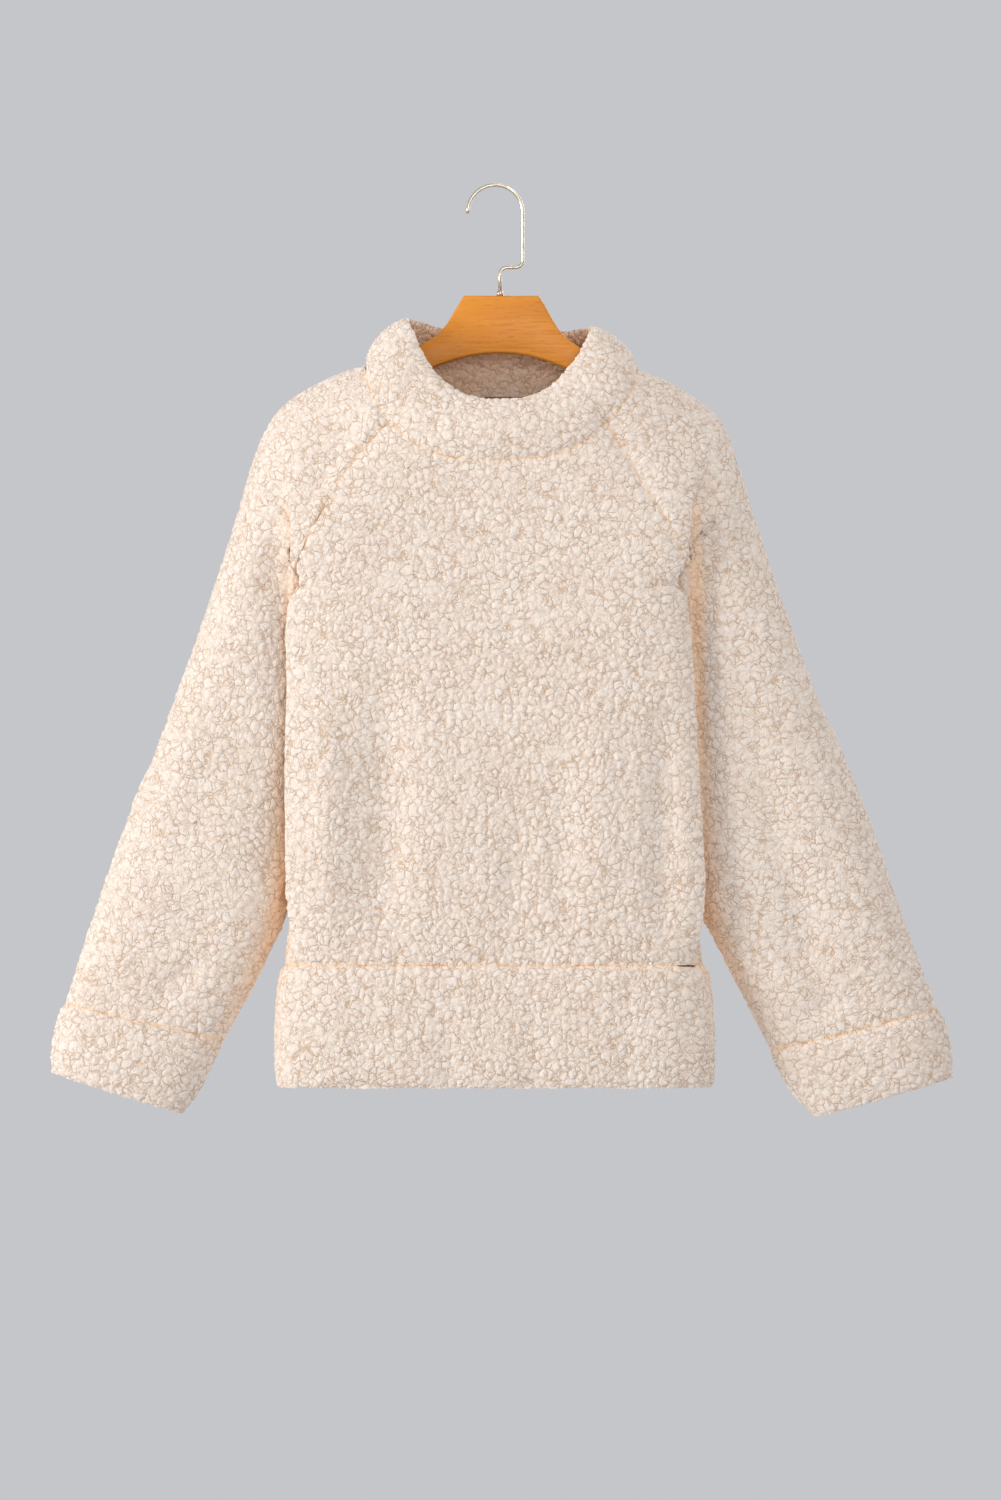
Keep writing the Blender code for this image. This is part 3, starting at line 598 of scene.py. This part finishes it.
# %% Lift the collar's rim
RIM_LIFT = 7.0
RIM_LIFT_FROM_Z, RIM_LIFT_FULL_Z = -168, -128
RIM_LIFT_FROM_X, RIM_LIFT_FULL_X = -30, -72


def eased(value, start, full):
    """0 before start and 1 from full on, with a smooth rise between, all in millimetres."""
    share = min(max((value - start) / (full - start), 0), 1)
    return share * share * (3 - 2 * share)


for vert in pieces["collar"].data.vertices:
    up = eased(vert.co.z / MM, RIM_LIFT_FROM_Z, RIM_LIFT_FULL_Z)
    side = eased(vert.co.x / MM, RIM_LIFT_FROM_X, RIM_LIFT_FULL_X)
    vert.co.z += RIM_LIFT * MM * up * side
print("collar's rim lifted on the left:", RIM_LIFT, "mm")

# %% [markdown]
# ## Fine cells where it shows
# A clump needs mesh cells of about 2 mm. Cutting the whole wall so fine would spend most
# faces inside the garment, so only long edges between faces that show are halved.

# %% Refine
CELL = {
    "front": 2.0, "back": 2.3, "sleeve_left": 2.05, "sleeve_right": 2.05,
    "collar": 1.7, "hem_band": 2.1, "cuff_left": 1.8, "cuff_right": 1.8,
}
LONG_EDGE = 1.45
REFINE_ROUNDS = 4


def refine(obj, cell):
    """Halves the long edges of what shows until none is much over cell, in millimetres."""
    bm = bmesh.new()
    bm.from_mesh(obj.data)
    shows = bm.faces.layers.int["shows"]
    for _ in range(REFINE_ROUNDS):
        long_edges = [
            edge for edge in bm.edges
            if edge.calc_length() > LONG_EDGE * cell * MM and all(face[shows] for face in edge.link_faces)
        ]
        if not long_edges:
            break
        bmesh.ops.subdivide_edges(bm, edges=long_edges, cuts=1, use_grid_fill=True)
    bmesh.ops.triangulate(bm, faces=[face for face in bm.faces if len(face.verts) > 4])
    bm.to_mesh(obj.data)
    bm.free()


# %% [markdown]
# ## Open and closed places
# Down in an armpit or inside the collar, light reaches the fibres only after it has passed
# through others, so there the fleece gets painted warm and tan shade. The share of rays that
# get away from a place says how open it is, and sets that painted shade. It is worked out on
# the smooth walls, blurred a little, and kept on their vertices while the walls are cut finer.

# %% How open each place is
OPEN_RAYS = 14
OPEN_BLURS = 3
OPEN_LIFT = 3.0 * MM
HIDDEN = -1


def blur_openness(bm, openness):
    """Moves each vertex that shows half way to the mean of its neighbours."""
    blurred = {}
    for vert in bm.verts:
        others = [edge.other_vert(vert)[openness] for edge in vert.link_edges]
        near = [value for value in others if value >= 0]
        if vert[openness] >= 0 and near:
            blurred[vert] = (vert[openness] + sum(near) / len(near)) / 2
    for vert, value in blurred.items():
        vert[openness] = value


smooth = {}
for name, obj in pieces.items():
    smooth[name] = bmesh.new()
    smooth[name].from_mesh(obj.data)
garment = tree_of_walls(smooth.values())
open_rays = ray_fan(OPEN_RAYS)
for name, bm in smooth.items():
    shows = bm.faces.layers.int["shows"]
    openness = bm.verts.layers.float.new("open")
    free = {face: free_share(garment, face, open_rays, OPEN_LIFT) for face in bm.faces if face[shows]}
    for vert in bm.verts:
        around = [free[face] for face in vert.link_faces if face in free]
        vert[openness] = sum(around) / len(around) if around else HIDDEN
    for _ in range(OPEN_BLURS):
        blur_openness(bm, openness)
    bm.to_mesh(pieces[name].data)
    bm.free()
    refine(pieces[name], CELL[name])
    mean = round(sum(free.values()) / len(free), 2)
    print(name, "mean openness", mean, "faces:", len(pieces[name].data.polygons))

# %% [markdown]
# ## Rims
# A panel's rim is its sharp edges. Only the outer ones matter for the looks: those that
# touch a face that shows. They are sampled closely, so that the nearest point of a
# neighbour's rim is found between its vertices too.

# %% Find the rims
RIM_ANGLE = math.radians(50)
RIM_STEP = 0.6


def sharp_rims(obj):
    """A piece's sharp edges by number: all of them, and those that touch a face that shows."""
    bm = bmesh.new()
    bm.from_mesh(obj.data)
    shows = bm.faces.layers.int["shows"]
    sharp = [edge for edge in bm.edges if len(edge.link_faces) == 2 and edge.calc_face_angle(0) > RIM_ANGLE]
    every = [edge.index for edge in sharp]
    shown = [
        edge.index for edge in sharp
        if any(face[shows] for vert in edge.verts for face in vert.link_faces)
    ]
    bm.free()
    return every, shown


def points_along(mesh, edges, step):
    """Points every step millimetres along the given edges of a mesh."""
    found = []
    for index in edges:
        first, last = (mesh.vertices[vert].co for vert in mesh.edges[index].vertices)
        count = max(1, math.ceil((last - first).length / (step * MM)))
        found += [first.lerp(last, share / count) for share in range(count + 1)]
    return found


def tree_of(points):
    """A tree that finds the nearest of some points."""
    tree = KDTree(len(points))
    for index, point in enumerate(points):
        tree.insert(point, index)
    tree.balance()
    return tree


rim_edges, shown_rims, rim_points = {}, {}, {}
for name, obj in pieces.items():
    rim_edges[name], shown_rims[name] = sharp_rims(obj)
    rim_points[name] = points_along(obj.data, shown_rims[name], RIM_STEP)
print("rim edges that show:", {name: len(edges) for name, edges in shown_rims.items()})

# %% [markdown]
# ## Sewing the seams
# The smooth walls stand up to a few millimetres apart at a seam. Each rim vertex moves half
# way to the nearest point of another piece's rim, and where a whole edge has met its
# neighbour, there is a seam. Its points are kept for the steps that follow.

# %% Sew
SEAM_CLOSE = 0.5
SEAM_GAP_MOST = 4.0
sewn = []
for name, obj in pieces.items():
    others = tree_of([point for other, points in rim_points.items() if other != name for point in points])
    edges, verts = obj.data.edges, obj.data.vertices
    closed = set()
    for index in sorted({vert for edge in shown_rims[name] for vert in edges[edge].vertices}):
        meeting, _, gap = others.find(verts[index].co)
        if gap < SEAM_GAP_MOST * MM:
            verts[index].co = verts[index].co.lerp(meeting, SEAM_CLOSE)
            closed.add(index)
    seam = [edge for edge in shown_rims[name] if closed.issuperset(edges[edge].vertices)]
    sewn += points_along(obj.data, seam, RIM_STEP)
    print(name, "seam vertices closed:", len(closed))
seam_tree = tree_of(sewn)

# %% [markdown]
# ## The collar's lap
# Inside the neck, the collar's sewn edge lies over the body's. Its inner rim is lowered by
# a few millimetres there, so that no slit is left between the two.

# %% Lap the collar
COLLAR_LAP = 6.0
COLLAR_LAP_REACH = 9.0
SEAM_ITSELF = 0.1
collar = pieces["collar"].data
lapping = []
for index in sorted({vert for edge in rim_edges["collar"] for vert in collar.edges[edge].vertices}):
    away = seam_tree.find(collar.vertices[index].co)[2] / MM
    if SEAM_ITSELF < away < COLLAR_LAP_REACH:
        lapping.append(index)
for index in lapping:
    collar.vertices[index].co.z -= COLLAR_LAP * MM
print("collar vertices that lap over the neck inside:", len(lapping))

# %% [markdown]
# ## Meshes as arrays
# A panel has tens of thousands of vertices, so the next steps work on all of them at once.
# These helpers read a mesh into numpy arrays. The normals come only from faces that show,
# because at a rim the hidden side would tilt them.

# %% Mesh arrays
def places(mesh):
    """The vertices' places."""
    flat = np.empty(len(mesh.vertices) * 3)
    mesh.vertices.foreach_get("co", flat)
    return flat.reshape(-1, 3)


def attribute(mesh, name, count):
    """The values of a named attribute."""
    values = np.empty(count)
    mesh.attributes[name].data.foreach_get("value", values)
    return values


def triangles_of(mesh):
    """The corners of each triangle, and the face that it belongs to."""
    mesh.calc_loop_triangles()
    count = len(mesh.loop_triangles)
    corners, owner = np.empty(count * 3, int), np.empty(count, int)
    mesh.loop_triangles.foreach_get("vertices", corners)
    mesh.loop_triangles.foreach_get("polygon_index", owner)
    return corners.reshape(-1, 3), owner


def shown_normals(mesh):
    """Vertex normals from the faces that show alone, and which vertices have any."""
    corners, owner = triangles_of(mesh)
    corners = corners[attribute(mesh, "shows", len(mesh.polygons))[owner] > 0]
    place = places(mesh)
    a, b, c = (place[corners[:, k]] for k in range(3))
    normal = np.cross(b - a, c - a)
    total = np.zeros_like(place)
    for k in range(3):
        np.add.at(total, corners[:, k], normal)
    length = np.linalg.norm(total, axis=1)
    has = length > 0
    total[has] /= length[has, None]
    return total, has


# %% [markdown]
# ## Press the cloth into its folds
# Each side of the garment gets its own folds: a point's share of the front or back folds
# depends on how far its normal turns that way. A vertex that doesn't show moves with the
# side it backs, so the wall keeps its thickness. Folds fade out near a seam, which is
# stiffer than the cloth around it.

# %% Press
SIDE_SHARPNESS = 1.6
SEAM_GUARD = 9.0


def near_seam(away, reach):
    """1 on a seam, falling as a bell curve over reach millimetres."""
    return np.exp(-((away / reach) ** 2))


def fold_sink(name, place, outward, away):
    """How far each vertex of a piece sinks into its folds, in metres."""
    front = np.clip(-outward[:, 1] * SIDE_SHARPNESS, 0, 1)
    back = np.clip(outward[:, 1] * SIDE_SHARPNESS, 0, 1)
    front_folds = SLEEVE_SOFT_FOLDS if name.startswith(("sleeve", "cuff")) else FRONT_SOFT_FOLDS
    sink = press_folds(place, front, front_folds) + press_folds(place, back, BACK_SOFT_FOLDS)
    return sink * (1 - near_seam(away, SEAM_GUARD))


# %% [markdown]
# ## Raise the pile
# The geometry tree writes the pattern's height on every vertex, and each one that shows
# moves out along its normal. The place before that move is kept in the attribute that the
# shader reads. On a seam both panels' rims move the same way, so they stay together. Pile
# dips towards the stitches and hides part of them, and seams and deep tucks count as less
# open, so the fleece paints tan shade on them.

# %% Raise the pile
PILE_DEPTH = 1.35
PILE_FLOOR = -0.4
CRACK_DEPTH = 0.3
SEAM_DIP, SEAM_DIP_REACH = 0.9, 3.6
SEAM_SHADE, SEAM_SHADE_REACH = 0.95, 0.9
PILE_HIDES_DIP, PILE_HIDES_SHADE = 0.35, 0.6
SEWN_WITHIN = 0.35
TUCK_FROM = 5.5
TUCK_SHADE = 0.15


def finish_pile(name, mesh):
    """Gives a raised panel smooth shading, sharp rims and its fleece."""
    mesh.update()
    mesh.shade_smooth()
    sharp = np.zeros(len(mesh.edges), bool)
    sharp[rim_edges[name]] = True
    mesh.attributes.new("sharp_edge", "BOOLEAN", "EDGE").data.foreach_set("value", sharp)
    mesh.materials.clear()
    mesh.materials.append(FLEECE)
    for extra in ("height", "crack"):
        mesh.attributes.remove(mesh.attributes[extra])


def raise_pile(name, obj):
    """Presses a panel and raises its pile. Gives back the normals of the smooth cloth."""
    mesh = obj.data
    normal, has = shown_normals(mesh)
    place = places(mesh)
    every = np.empty(len(place) * 3)
    mesh.vertices.foreach_get("normal", every)
    outward = np.where(has[:, None], normal, -every.reshape(-1, 3))
    away = np.array([seam_tree.find(point)[2] for point in place]) / MM
    sink = fold_sink(name, place, outward, away)
    place -= outward * sink[:, None]
    mesh.vertices.foreach_set("co", place.ravel())
    mesh.attributes.new("rest", "FLOAT_VECTOR", "POINT").data.foreach_set("vector", place.ravel())
    obj.modifiers.new("pile", "NODES").node_group = PILE_TREE
    mesh = baked(obj)
    height, crack = (attribute(mesh, word, len(place)) for word in ("height", "crack"))
    # Painted shade: deep tucks and seams lose openness, so the fleece paints tan shade there.
    painted_shade = np.clip((sink / MM - TUCK_FROM) * TUCK_SHADE, 0, 1)
    painted_shade += SEAM_SHADE * near_seam(away, SEAM_SHADE_REACH) * (1 - PILE_HIDES_SHADE * height)
    openness = attribute(mesh, "open", len(place)) - painted_shade
    mesh.attributes["open"].data.foreach_set("value", openness)
    dip = SEAM_DIP * near_seam(away, SEAM_DIP_REACH) * (1 - PILE_HIDES_DIP * height)
    lift = PILE_FLOOR + PILE_DEPTH * height - CRACK_DEPTH * crack - dip
    along = np.where((away < SEWN_WITHIN)[:, None], normal * (0, 1, 0), normal)
    place += along * (lift * has * MM)[:, None]
    mesh.vertices.foreach_set("co", place.ravel())
    finish_pile(name, mesh)
    return normal


smooth_normals = {}
for name, obj in pieces.items():
    smooth_normals[name] = raise_pile(name, obj)
    print(name, "triangles:", len(triangles_of(obj.data)[1]))

# %% [markdown]
# ## Loose fibre
# Brushing lifts a few fibres off the clumps, which blur the outline and catch the light.
# They are the fleece's own fibres, with a little noise in their tone.

# %% Fibre material
FIBRE_PALE, FIBRE_DULL = (0.91, 0.81, 0.715, 1), (0.84, 0.71, 0.595, 1)


def fibre_material():
    """Single fibres of the pile."""
    made, tree, shader = blank_material("loose sherpa fibre")
    position = tree.nodes.new("ShaderNodeTexCoord").outputs["Object"]
    tone = noise(tree, position, 4 * MM, 3).outputs[0]
    colour = mix_colours(tree, stretch(tree, tone, 0.35, 0.65), FIBRE_PALE, FIBRE_DULL)
    tree.links.new(colour, shader.inputs["Base Color"])
    shader.inputs["Roughness"].default_value = 0.95
    shader.inputs["Specular IOR Level"].default_value = 0.1
    return made


FIBRE = fibre_material()
print(FIBRE.name + ":", len(FIBRE.node_tree.nodes), "nodes")

# %% [markdown]
# ## Loose curls
# Each curl is a tiny arch: a flat ribbon of three lengths that leaves the cloth and bends
# over. Hair particles would do it in a picture but don't export, so the ribbons of one panel
# are worked out as arrays and joined in one mesh. Their feet are spread by chance, evenly
# over the area that shows, from a fixed seed.

# %% Loose curls
CURL_SPACING = 4.15
CURL_RADIUS = (0.7, 1.5)
CURL_WIDTH = 0.45
CURL_TURN = (1.7, 2.7)
CURL_LEAN = (-0.5, 0.5)
CURL_SINK = 0.35
CURL_STEPS = 3
CURL_TAPER = 0.25
dice = np.random.default_rng(11)


def curl_feet(mesh, normals):
    """Places by chance on what shows of a panel, and the way out of the cloth at each."""
    corners, owner = triangles_of(mesh)
    area = np.empty(len(corners))
    mesh.loop_triangles.foreach_get("area", area)
    area *= attribute(mesh, "shows", len(mesh.polygons))[owner] > 0
    total = int(area.sum() / (CURL_SPACING * MM) ** 2)
    chosen = corners[dice.choice(len(corners), total, p=area / area.sum())]
    weights = dice.dirichlet((1, 1, 1), total)[:, :, None]
    foot = (places(mesh)[chosen] * weights).sum(axis=1)
    out = (normals[chosen] * weights).sum(axis=1)
    return foot, out / np.linalg.norm(out, axis=1)[:, None]


def curl_ribbons(foot, out):
    """The two edges of every ribbon at each of its steps, one row for each curl."""
    total = len(foot)
    along = np.cross(out, dice.normal(size=(total, 3)))
    along /= np.linalg.norm(along, axis=1)[:, None]
    across = np.cross(out, along)
    radius = dice.uniform(*CURL_RADIUS, total)[:, None] * MM
    turn = dice.uniform(*CURL_TURN, total)[:, None]
    lean = dice.uniform(*CURL_LEAN, total)[:, None]
    stations = []
    for step in range(CURL_STEPS + 1):
        angle = turn * step / CURL_STEPS
        bow = radius * (1 - np.cos(angle))
        rise = radius * np.sin(angle) - CURL_SINK * MM
        middle = foot + along * bow + out * rise + across * bow * lean
        half = across * CURL_WIDTH * MM / 2 * (1 - CURL_TAPER * step)
        stations += [middle - half, middle + half]
    return np.stack(stations, axis=1)


def loose_curls(name, mesh, normals):
    """One mesh of small arched ribbons that stand on what shows of a panel."""
    points = curl_ribbons(*curl_feet(mesh, normals))
    total, rungs = points.shape[:2]
    quads = np.array([[2 * s, 2 * s + 1, 2 * s + 3, 2 * s + 2] for s in range(CURL_STEPS)])
    faces = (np.arange(total)[:, None, None] * rungs + quads).reshape(-1, 4)
    curls = bpy.data.meshes.new(name + "_curls")
    curls.from_pydata(points.reshape(-1, 3), [], faces)
    curls.shade_smooth()
    curls.materials.append(FIBRE)
    made = bpy.data.objects.new(name + "_curls", curls)
    bpy.context.scene.collection.objects.link(made)
    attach(made, "root")
    print(name, "curls:", total)


for name, obj in pieces.items():
    loose_curls(name, obj.data, smooth_normals[name])
    obj.data.attributes.remove(obj.data.attributes["shows"])

# %% [markdown]
# ## The cloth pieces
# Every panel is attached to the root, and the wall it replaces is hidden. The table gives
# for each sheet the size of the cut that a maker would lay out flat for it, in metres, its
# area where it isn't a plain rectangle, and what it hangs from; only the cut's size is read,
# for a print.

# %% Cloth pieces
CUTS = {
    "front": ((0.40, 0.50), 0.172, ["sleeve_left_pile", "sleeve_right_pile"]),
    "back": ((0.40, 0.54), 0.185, ["sleeve_left_pile", "sleeve_right_pile"]),
    "sleeve_left": ((0.37, 0.63), 0.170, ["hanger"]),
    "sleeve_right": ((0.37, 0.63), 0.178, ["hanger"]),
    "collar": ((0.52, 0.075), None, ["hanger"]),
    "hem_band": ((0.86, 0.115), None, ["front_pile", "back_pile"]),
    "cuff_left": ((0.32, 0.07), None, ["sleeve_left_pile"]),
    "cuff_right": ((0.32, 0.07), None, ["sleeve_right_pile"]),
}
for name, (flat, area, carriers) in CUTS.items():
    obj = pieces[name]
    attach(obj, "root")
    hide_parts(name)
    print(name, "cut from", flat[0], "x", flat[1], "m")

# %% [markdown]
# ## Smooth copies of the hard pieces
# The board and the wire are already the right shape. A merged copy of each is shaded
# smoothly, with only its real edges kept sharp, and takes its finish.

# %% Smoothed copies
def smoothed_copy(name, material, sharp_angle):
    """A merged, smoothly shaded copy of a hard node, with its edges kept."""
    bm = bmesh.new()
    bm.from_mesh(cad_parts[name].data)
    bmesh.ops.remove_doubles(bm, verts=bm.verts, dist=0.01 * MM)
    mesh = mesh_of(bm, name + "_finish")
    mesh.shade_smooth()
    mesh.set_sharp_from_angle(angle=math.radians(sharp_angle))
    mesh.materials.clear()
    mesh.materials.append(material)
    obj = bpy.data.objects.new(name + "_finish", mesh)
    bpy.context.scene.collection.objects.link(obj)
    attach(obj, "root")
    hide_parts(name)
    print(name, "faces:", len(mesh.polygons))
    return obj


# %% [markdown]
# ## Wooden board
# The hanger is sawn from a pale hardwood board and stained honey, so its grain shows as
# long darker streaks along the board, with short fine pores. Noise that is drawn out
# along the board makes both, and a thin coat is the lacquer.

# %% Wood
HONEY, HONEY_DULL = (0.73, 0.27, 0.026, 1), (0.67, 0.235, 0.02, 1)
STREAK_BROWN = (0.55, 0.16, 0.012, 1)
PORE_BROWN = (0.36, 0.1, 0.012, 1)
BOARD_EDGE_ANGLE = 50


def wood_material():
    """Honey stained hardwood under a thin lacquer."""
    made, tree, shader = blank_material("honey stained hardwood")
    position = tree.nodes.new("ShaderNodeTexCoord").outputs["Object"]

    def grain(scale, size, detail, roughness=0.5):
        """Noise drawn out along each axis whose scale is under 1, most along the board."""
        mapping = tree.nodes.new("ShaderNodeMapping")
        mapping.inputs["Scale"].default_value = scale
        tree.links.new(position, mapping.inputs["Vector"])
        return noise(tree, mapping.outputs[0], size, detail, roughness).outputs[0]

    streaks = grain((0.07, 0.7, 1), 2.6 * MM, 4, 0.6)
    bands = grain((0.16, 0.6, 1), 16 * MM, 2)
    pores = grain((0.10, 0.8, 1), 1.1 * MM, 1)
    colour = mix_colours(tree, stretch(tree, bands, 0.35, 0.65), HONEY, HONEY_DULL)
    colour = mix_colours(tree, stretch(tree, streaks, 0.5, 0.68, 0.0, 0.55), colour, STREAK_BROWN)
    colour = mix_colours(tree, stretch(tree, pores, 0.64, 0.74, 0.0, 0.5), colour, PORE_BROWN)
    tree.links.new(colour, shader.inputs["Base Color"])
    tree.links.new(stretch(tree, streaks, 0.3, 0.7, 0.38, 0.5), shader.inputs["Roughness"])
    add_bump(tree, shader, maths(tree, "SUBTRACT", streaks, pores), 0.25, 0.2 * MM)
    shader.inputs["Specular IOR Level"].default_value = 0.3
    shader.inputs["Coat Weight"].default_value = 0.08
    shader.inputs["Coat Roughness"].default_value = 0.25
    return made


board = smoothed_copy("hanger", wood_material(), BOARD_EDGE_ANGLE)

# %% [markdown]
# ## Wire hook
# The hook is bent from steel wire with a pale brass plating, slightly stained by handling.
# It stands in a small ferrule of the same plating.

# %% Metal
BRASS, BRASS_DULL = (0.70, 0.62, 0.49, 1), (0.58, 0.50, 0.38, 1)
WIRE_EDGE_ANGLE = 60


def plating_material():
    """Satin pale brass plating."""
    made, tree, shader = blank_material("pale brass plating")
    position = tree.nodes.new("ShaderNodeTexCoord").outputs["Object"]
    stains = noise(tree, position, 6 * MM, 3).outputs[0]
    plated = mix_colours(tree, stretch(tree, stains, 0.4, 0.7), BRASS, BRASS_DULL)
    tree.links.new(plated, shader.inputs["Base Color"])
    tree.links.new(stretch(tree, stains, 0.3, 0.7, 0.2, 0.34), shader.inputs["Roughness"])
    shader.inputs["Metallic"].default_value = 1.0
    scratches = noise(tree, position, 0.4 * MM, 2).outputs[0]
    add_bump(tree, shader, scratches, 0.05, 0.02 * MM)
    return made


PLATING = plating_material()
for name in ("hook", "hook_ferrule"):
    smoothed_copy(name, PLATING, WIRE_EDGE_ANGLE)
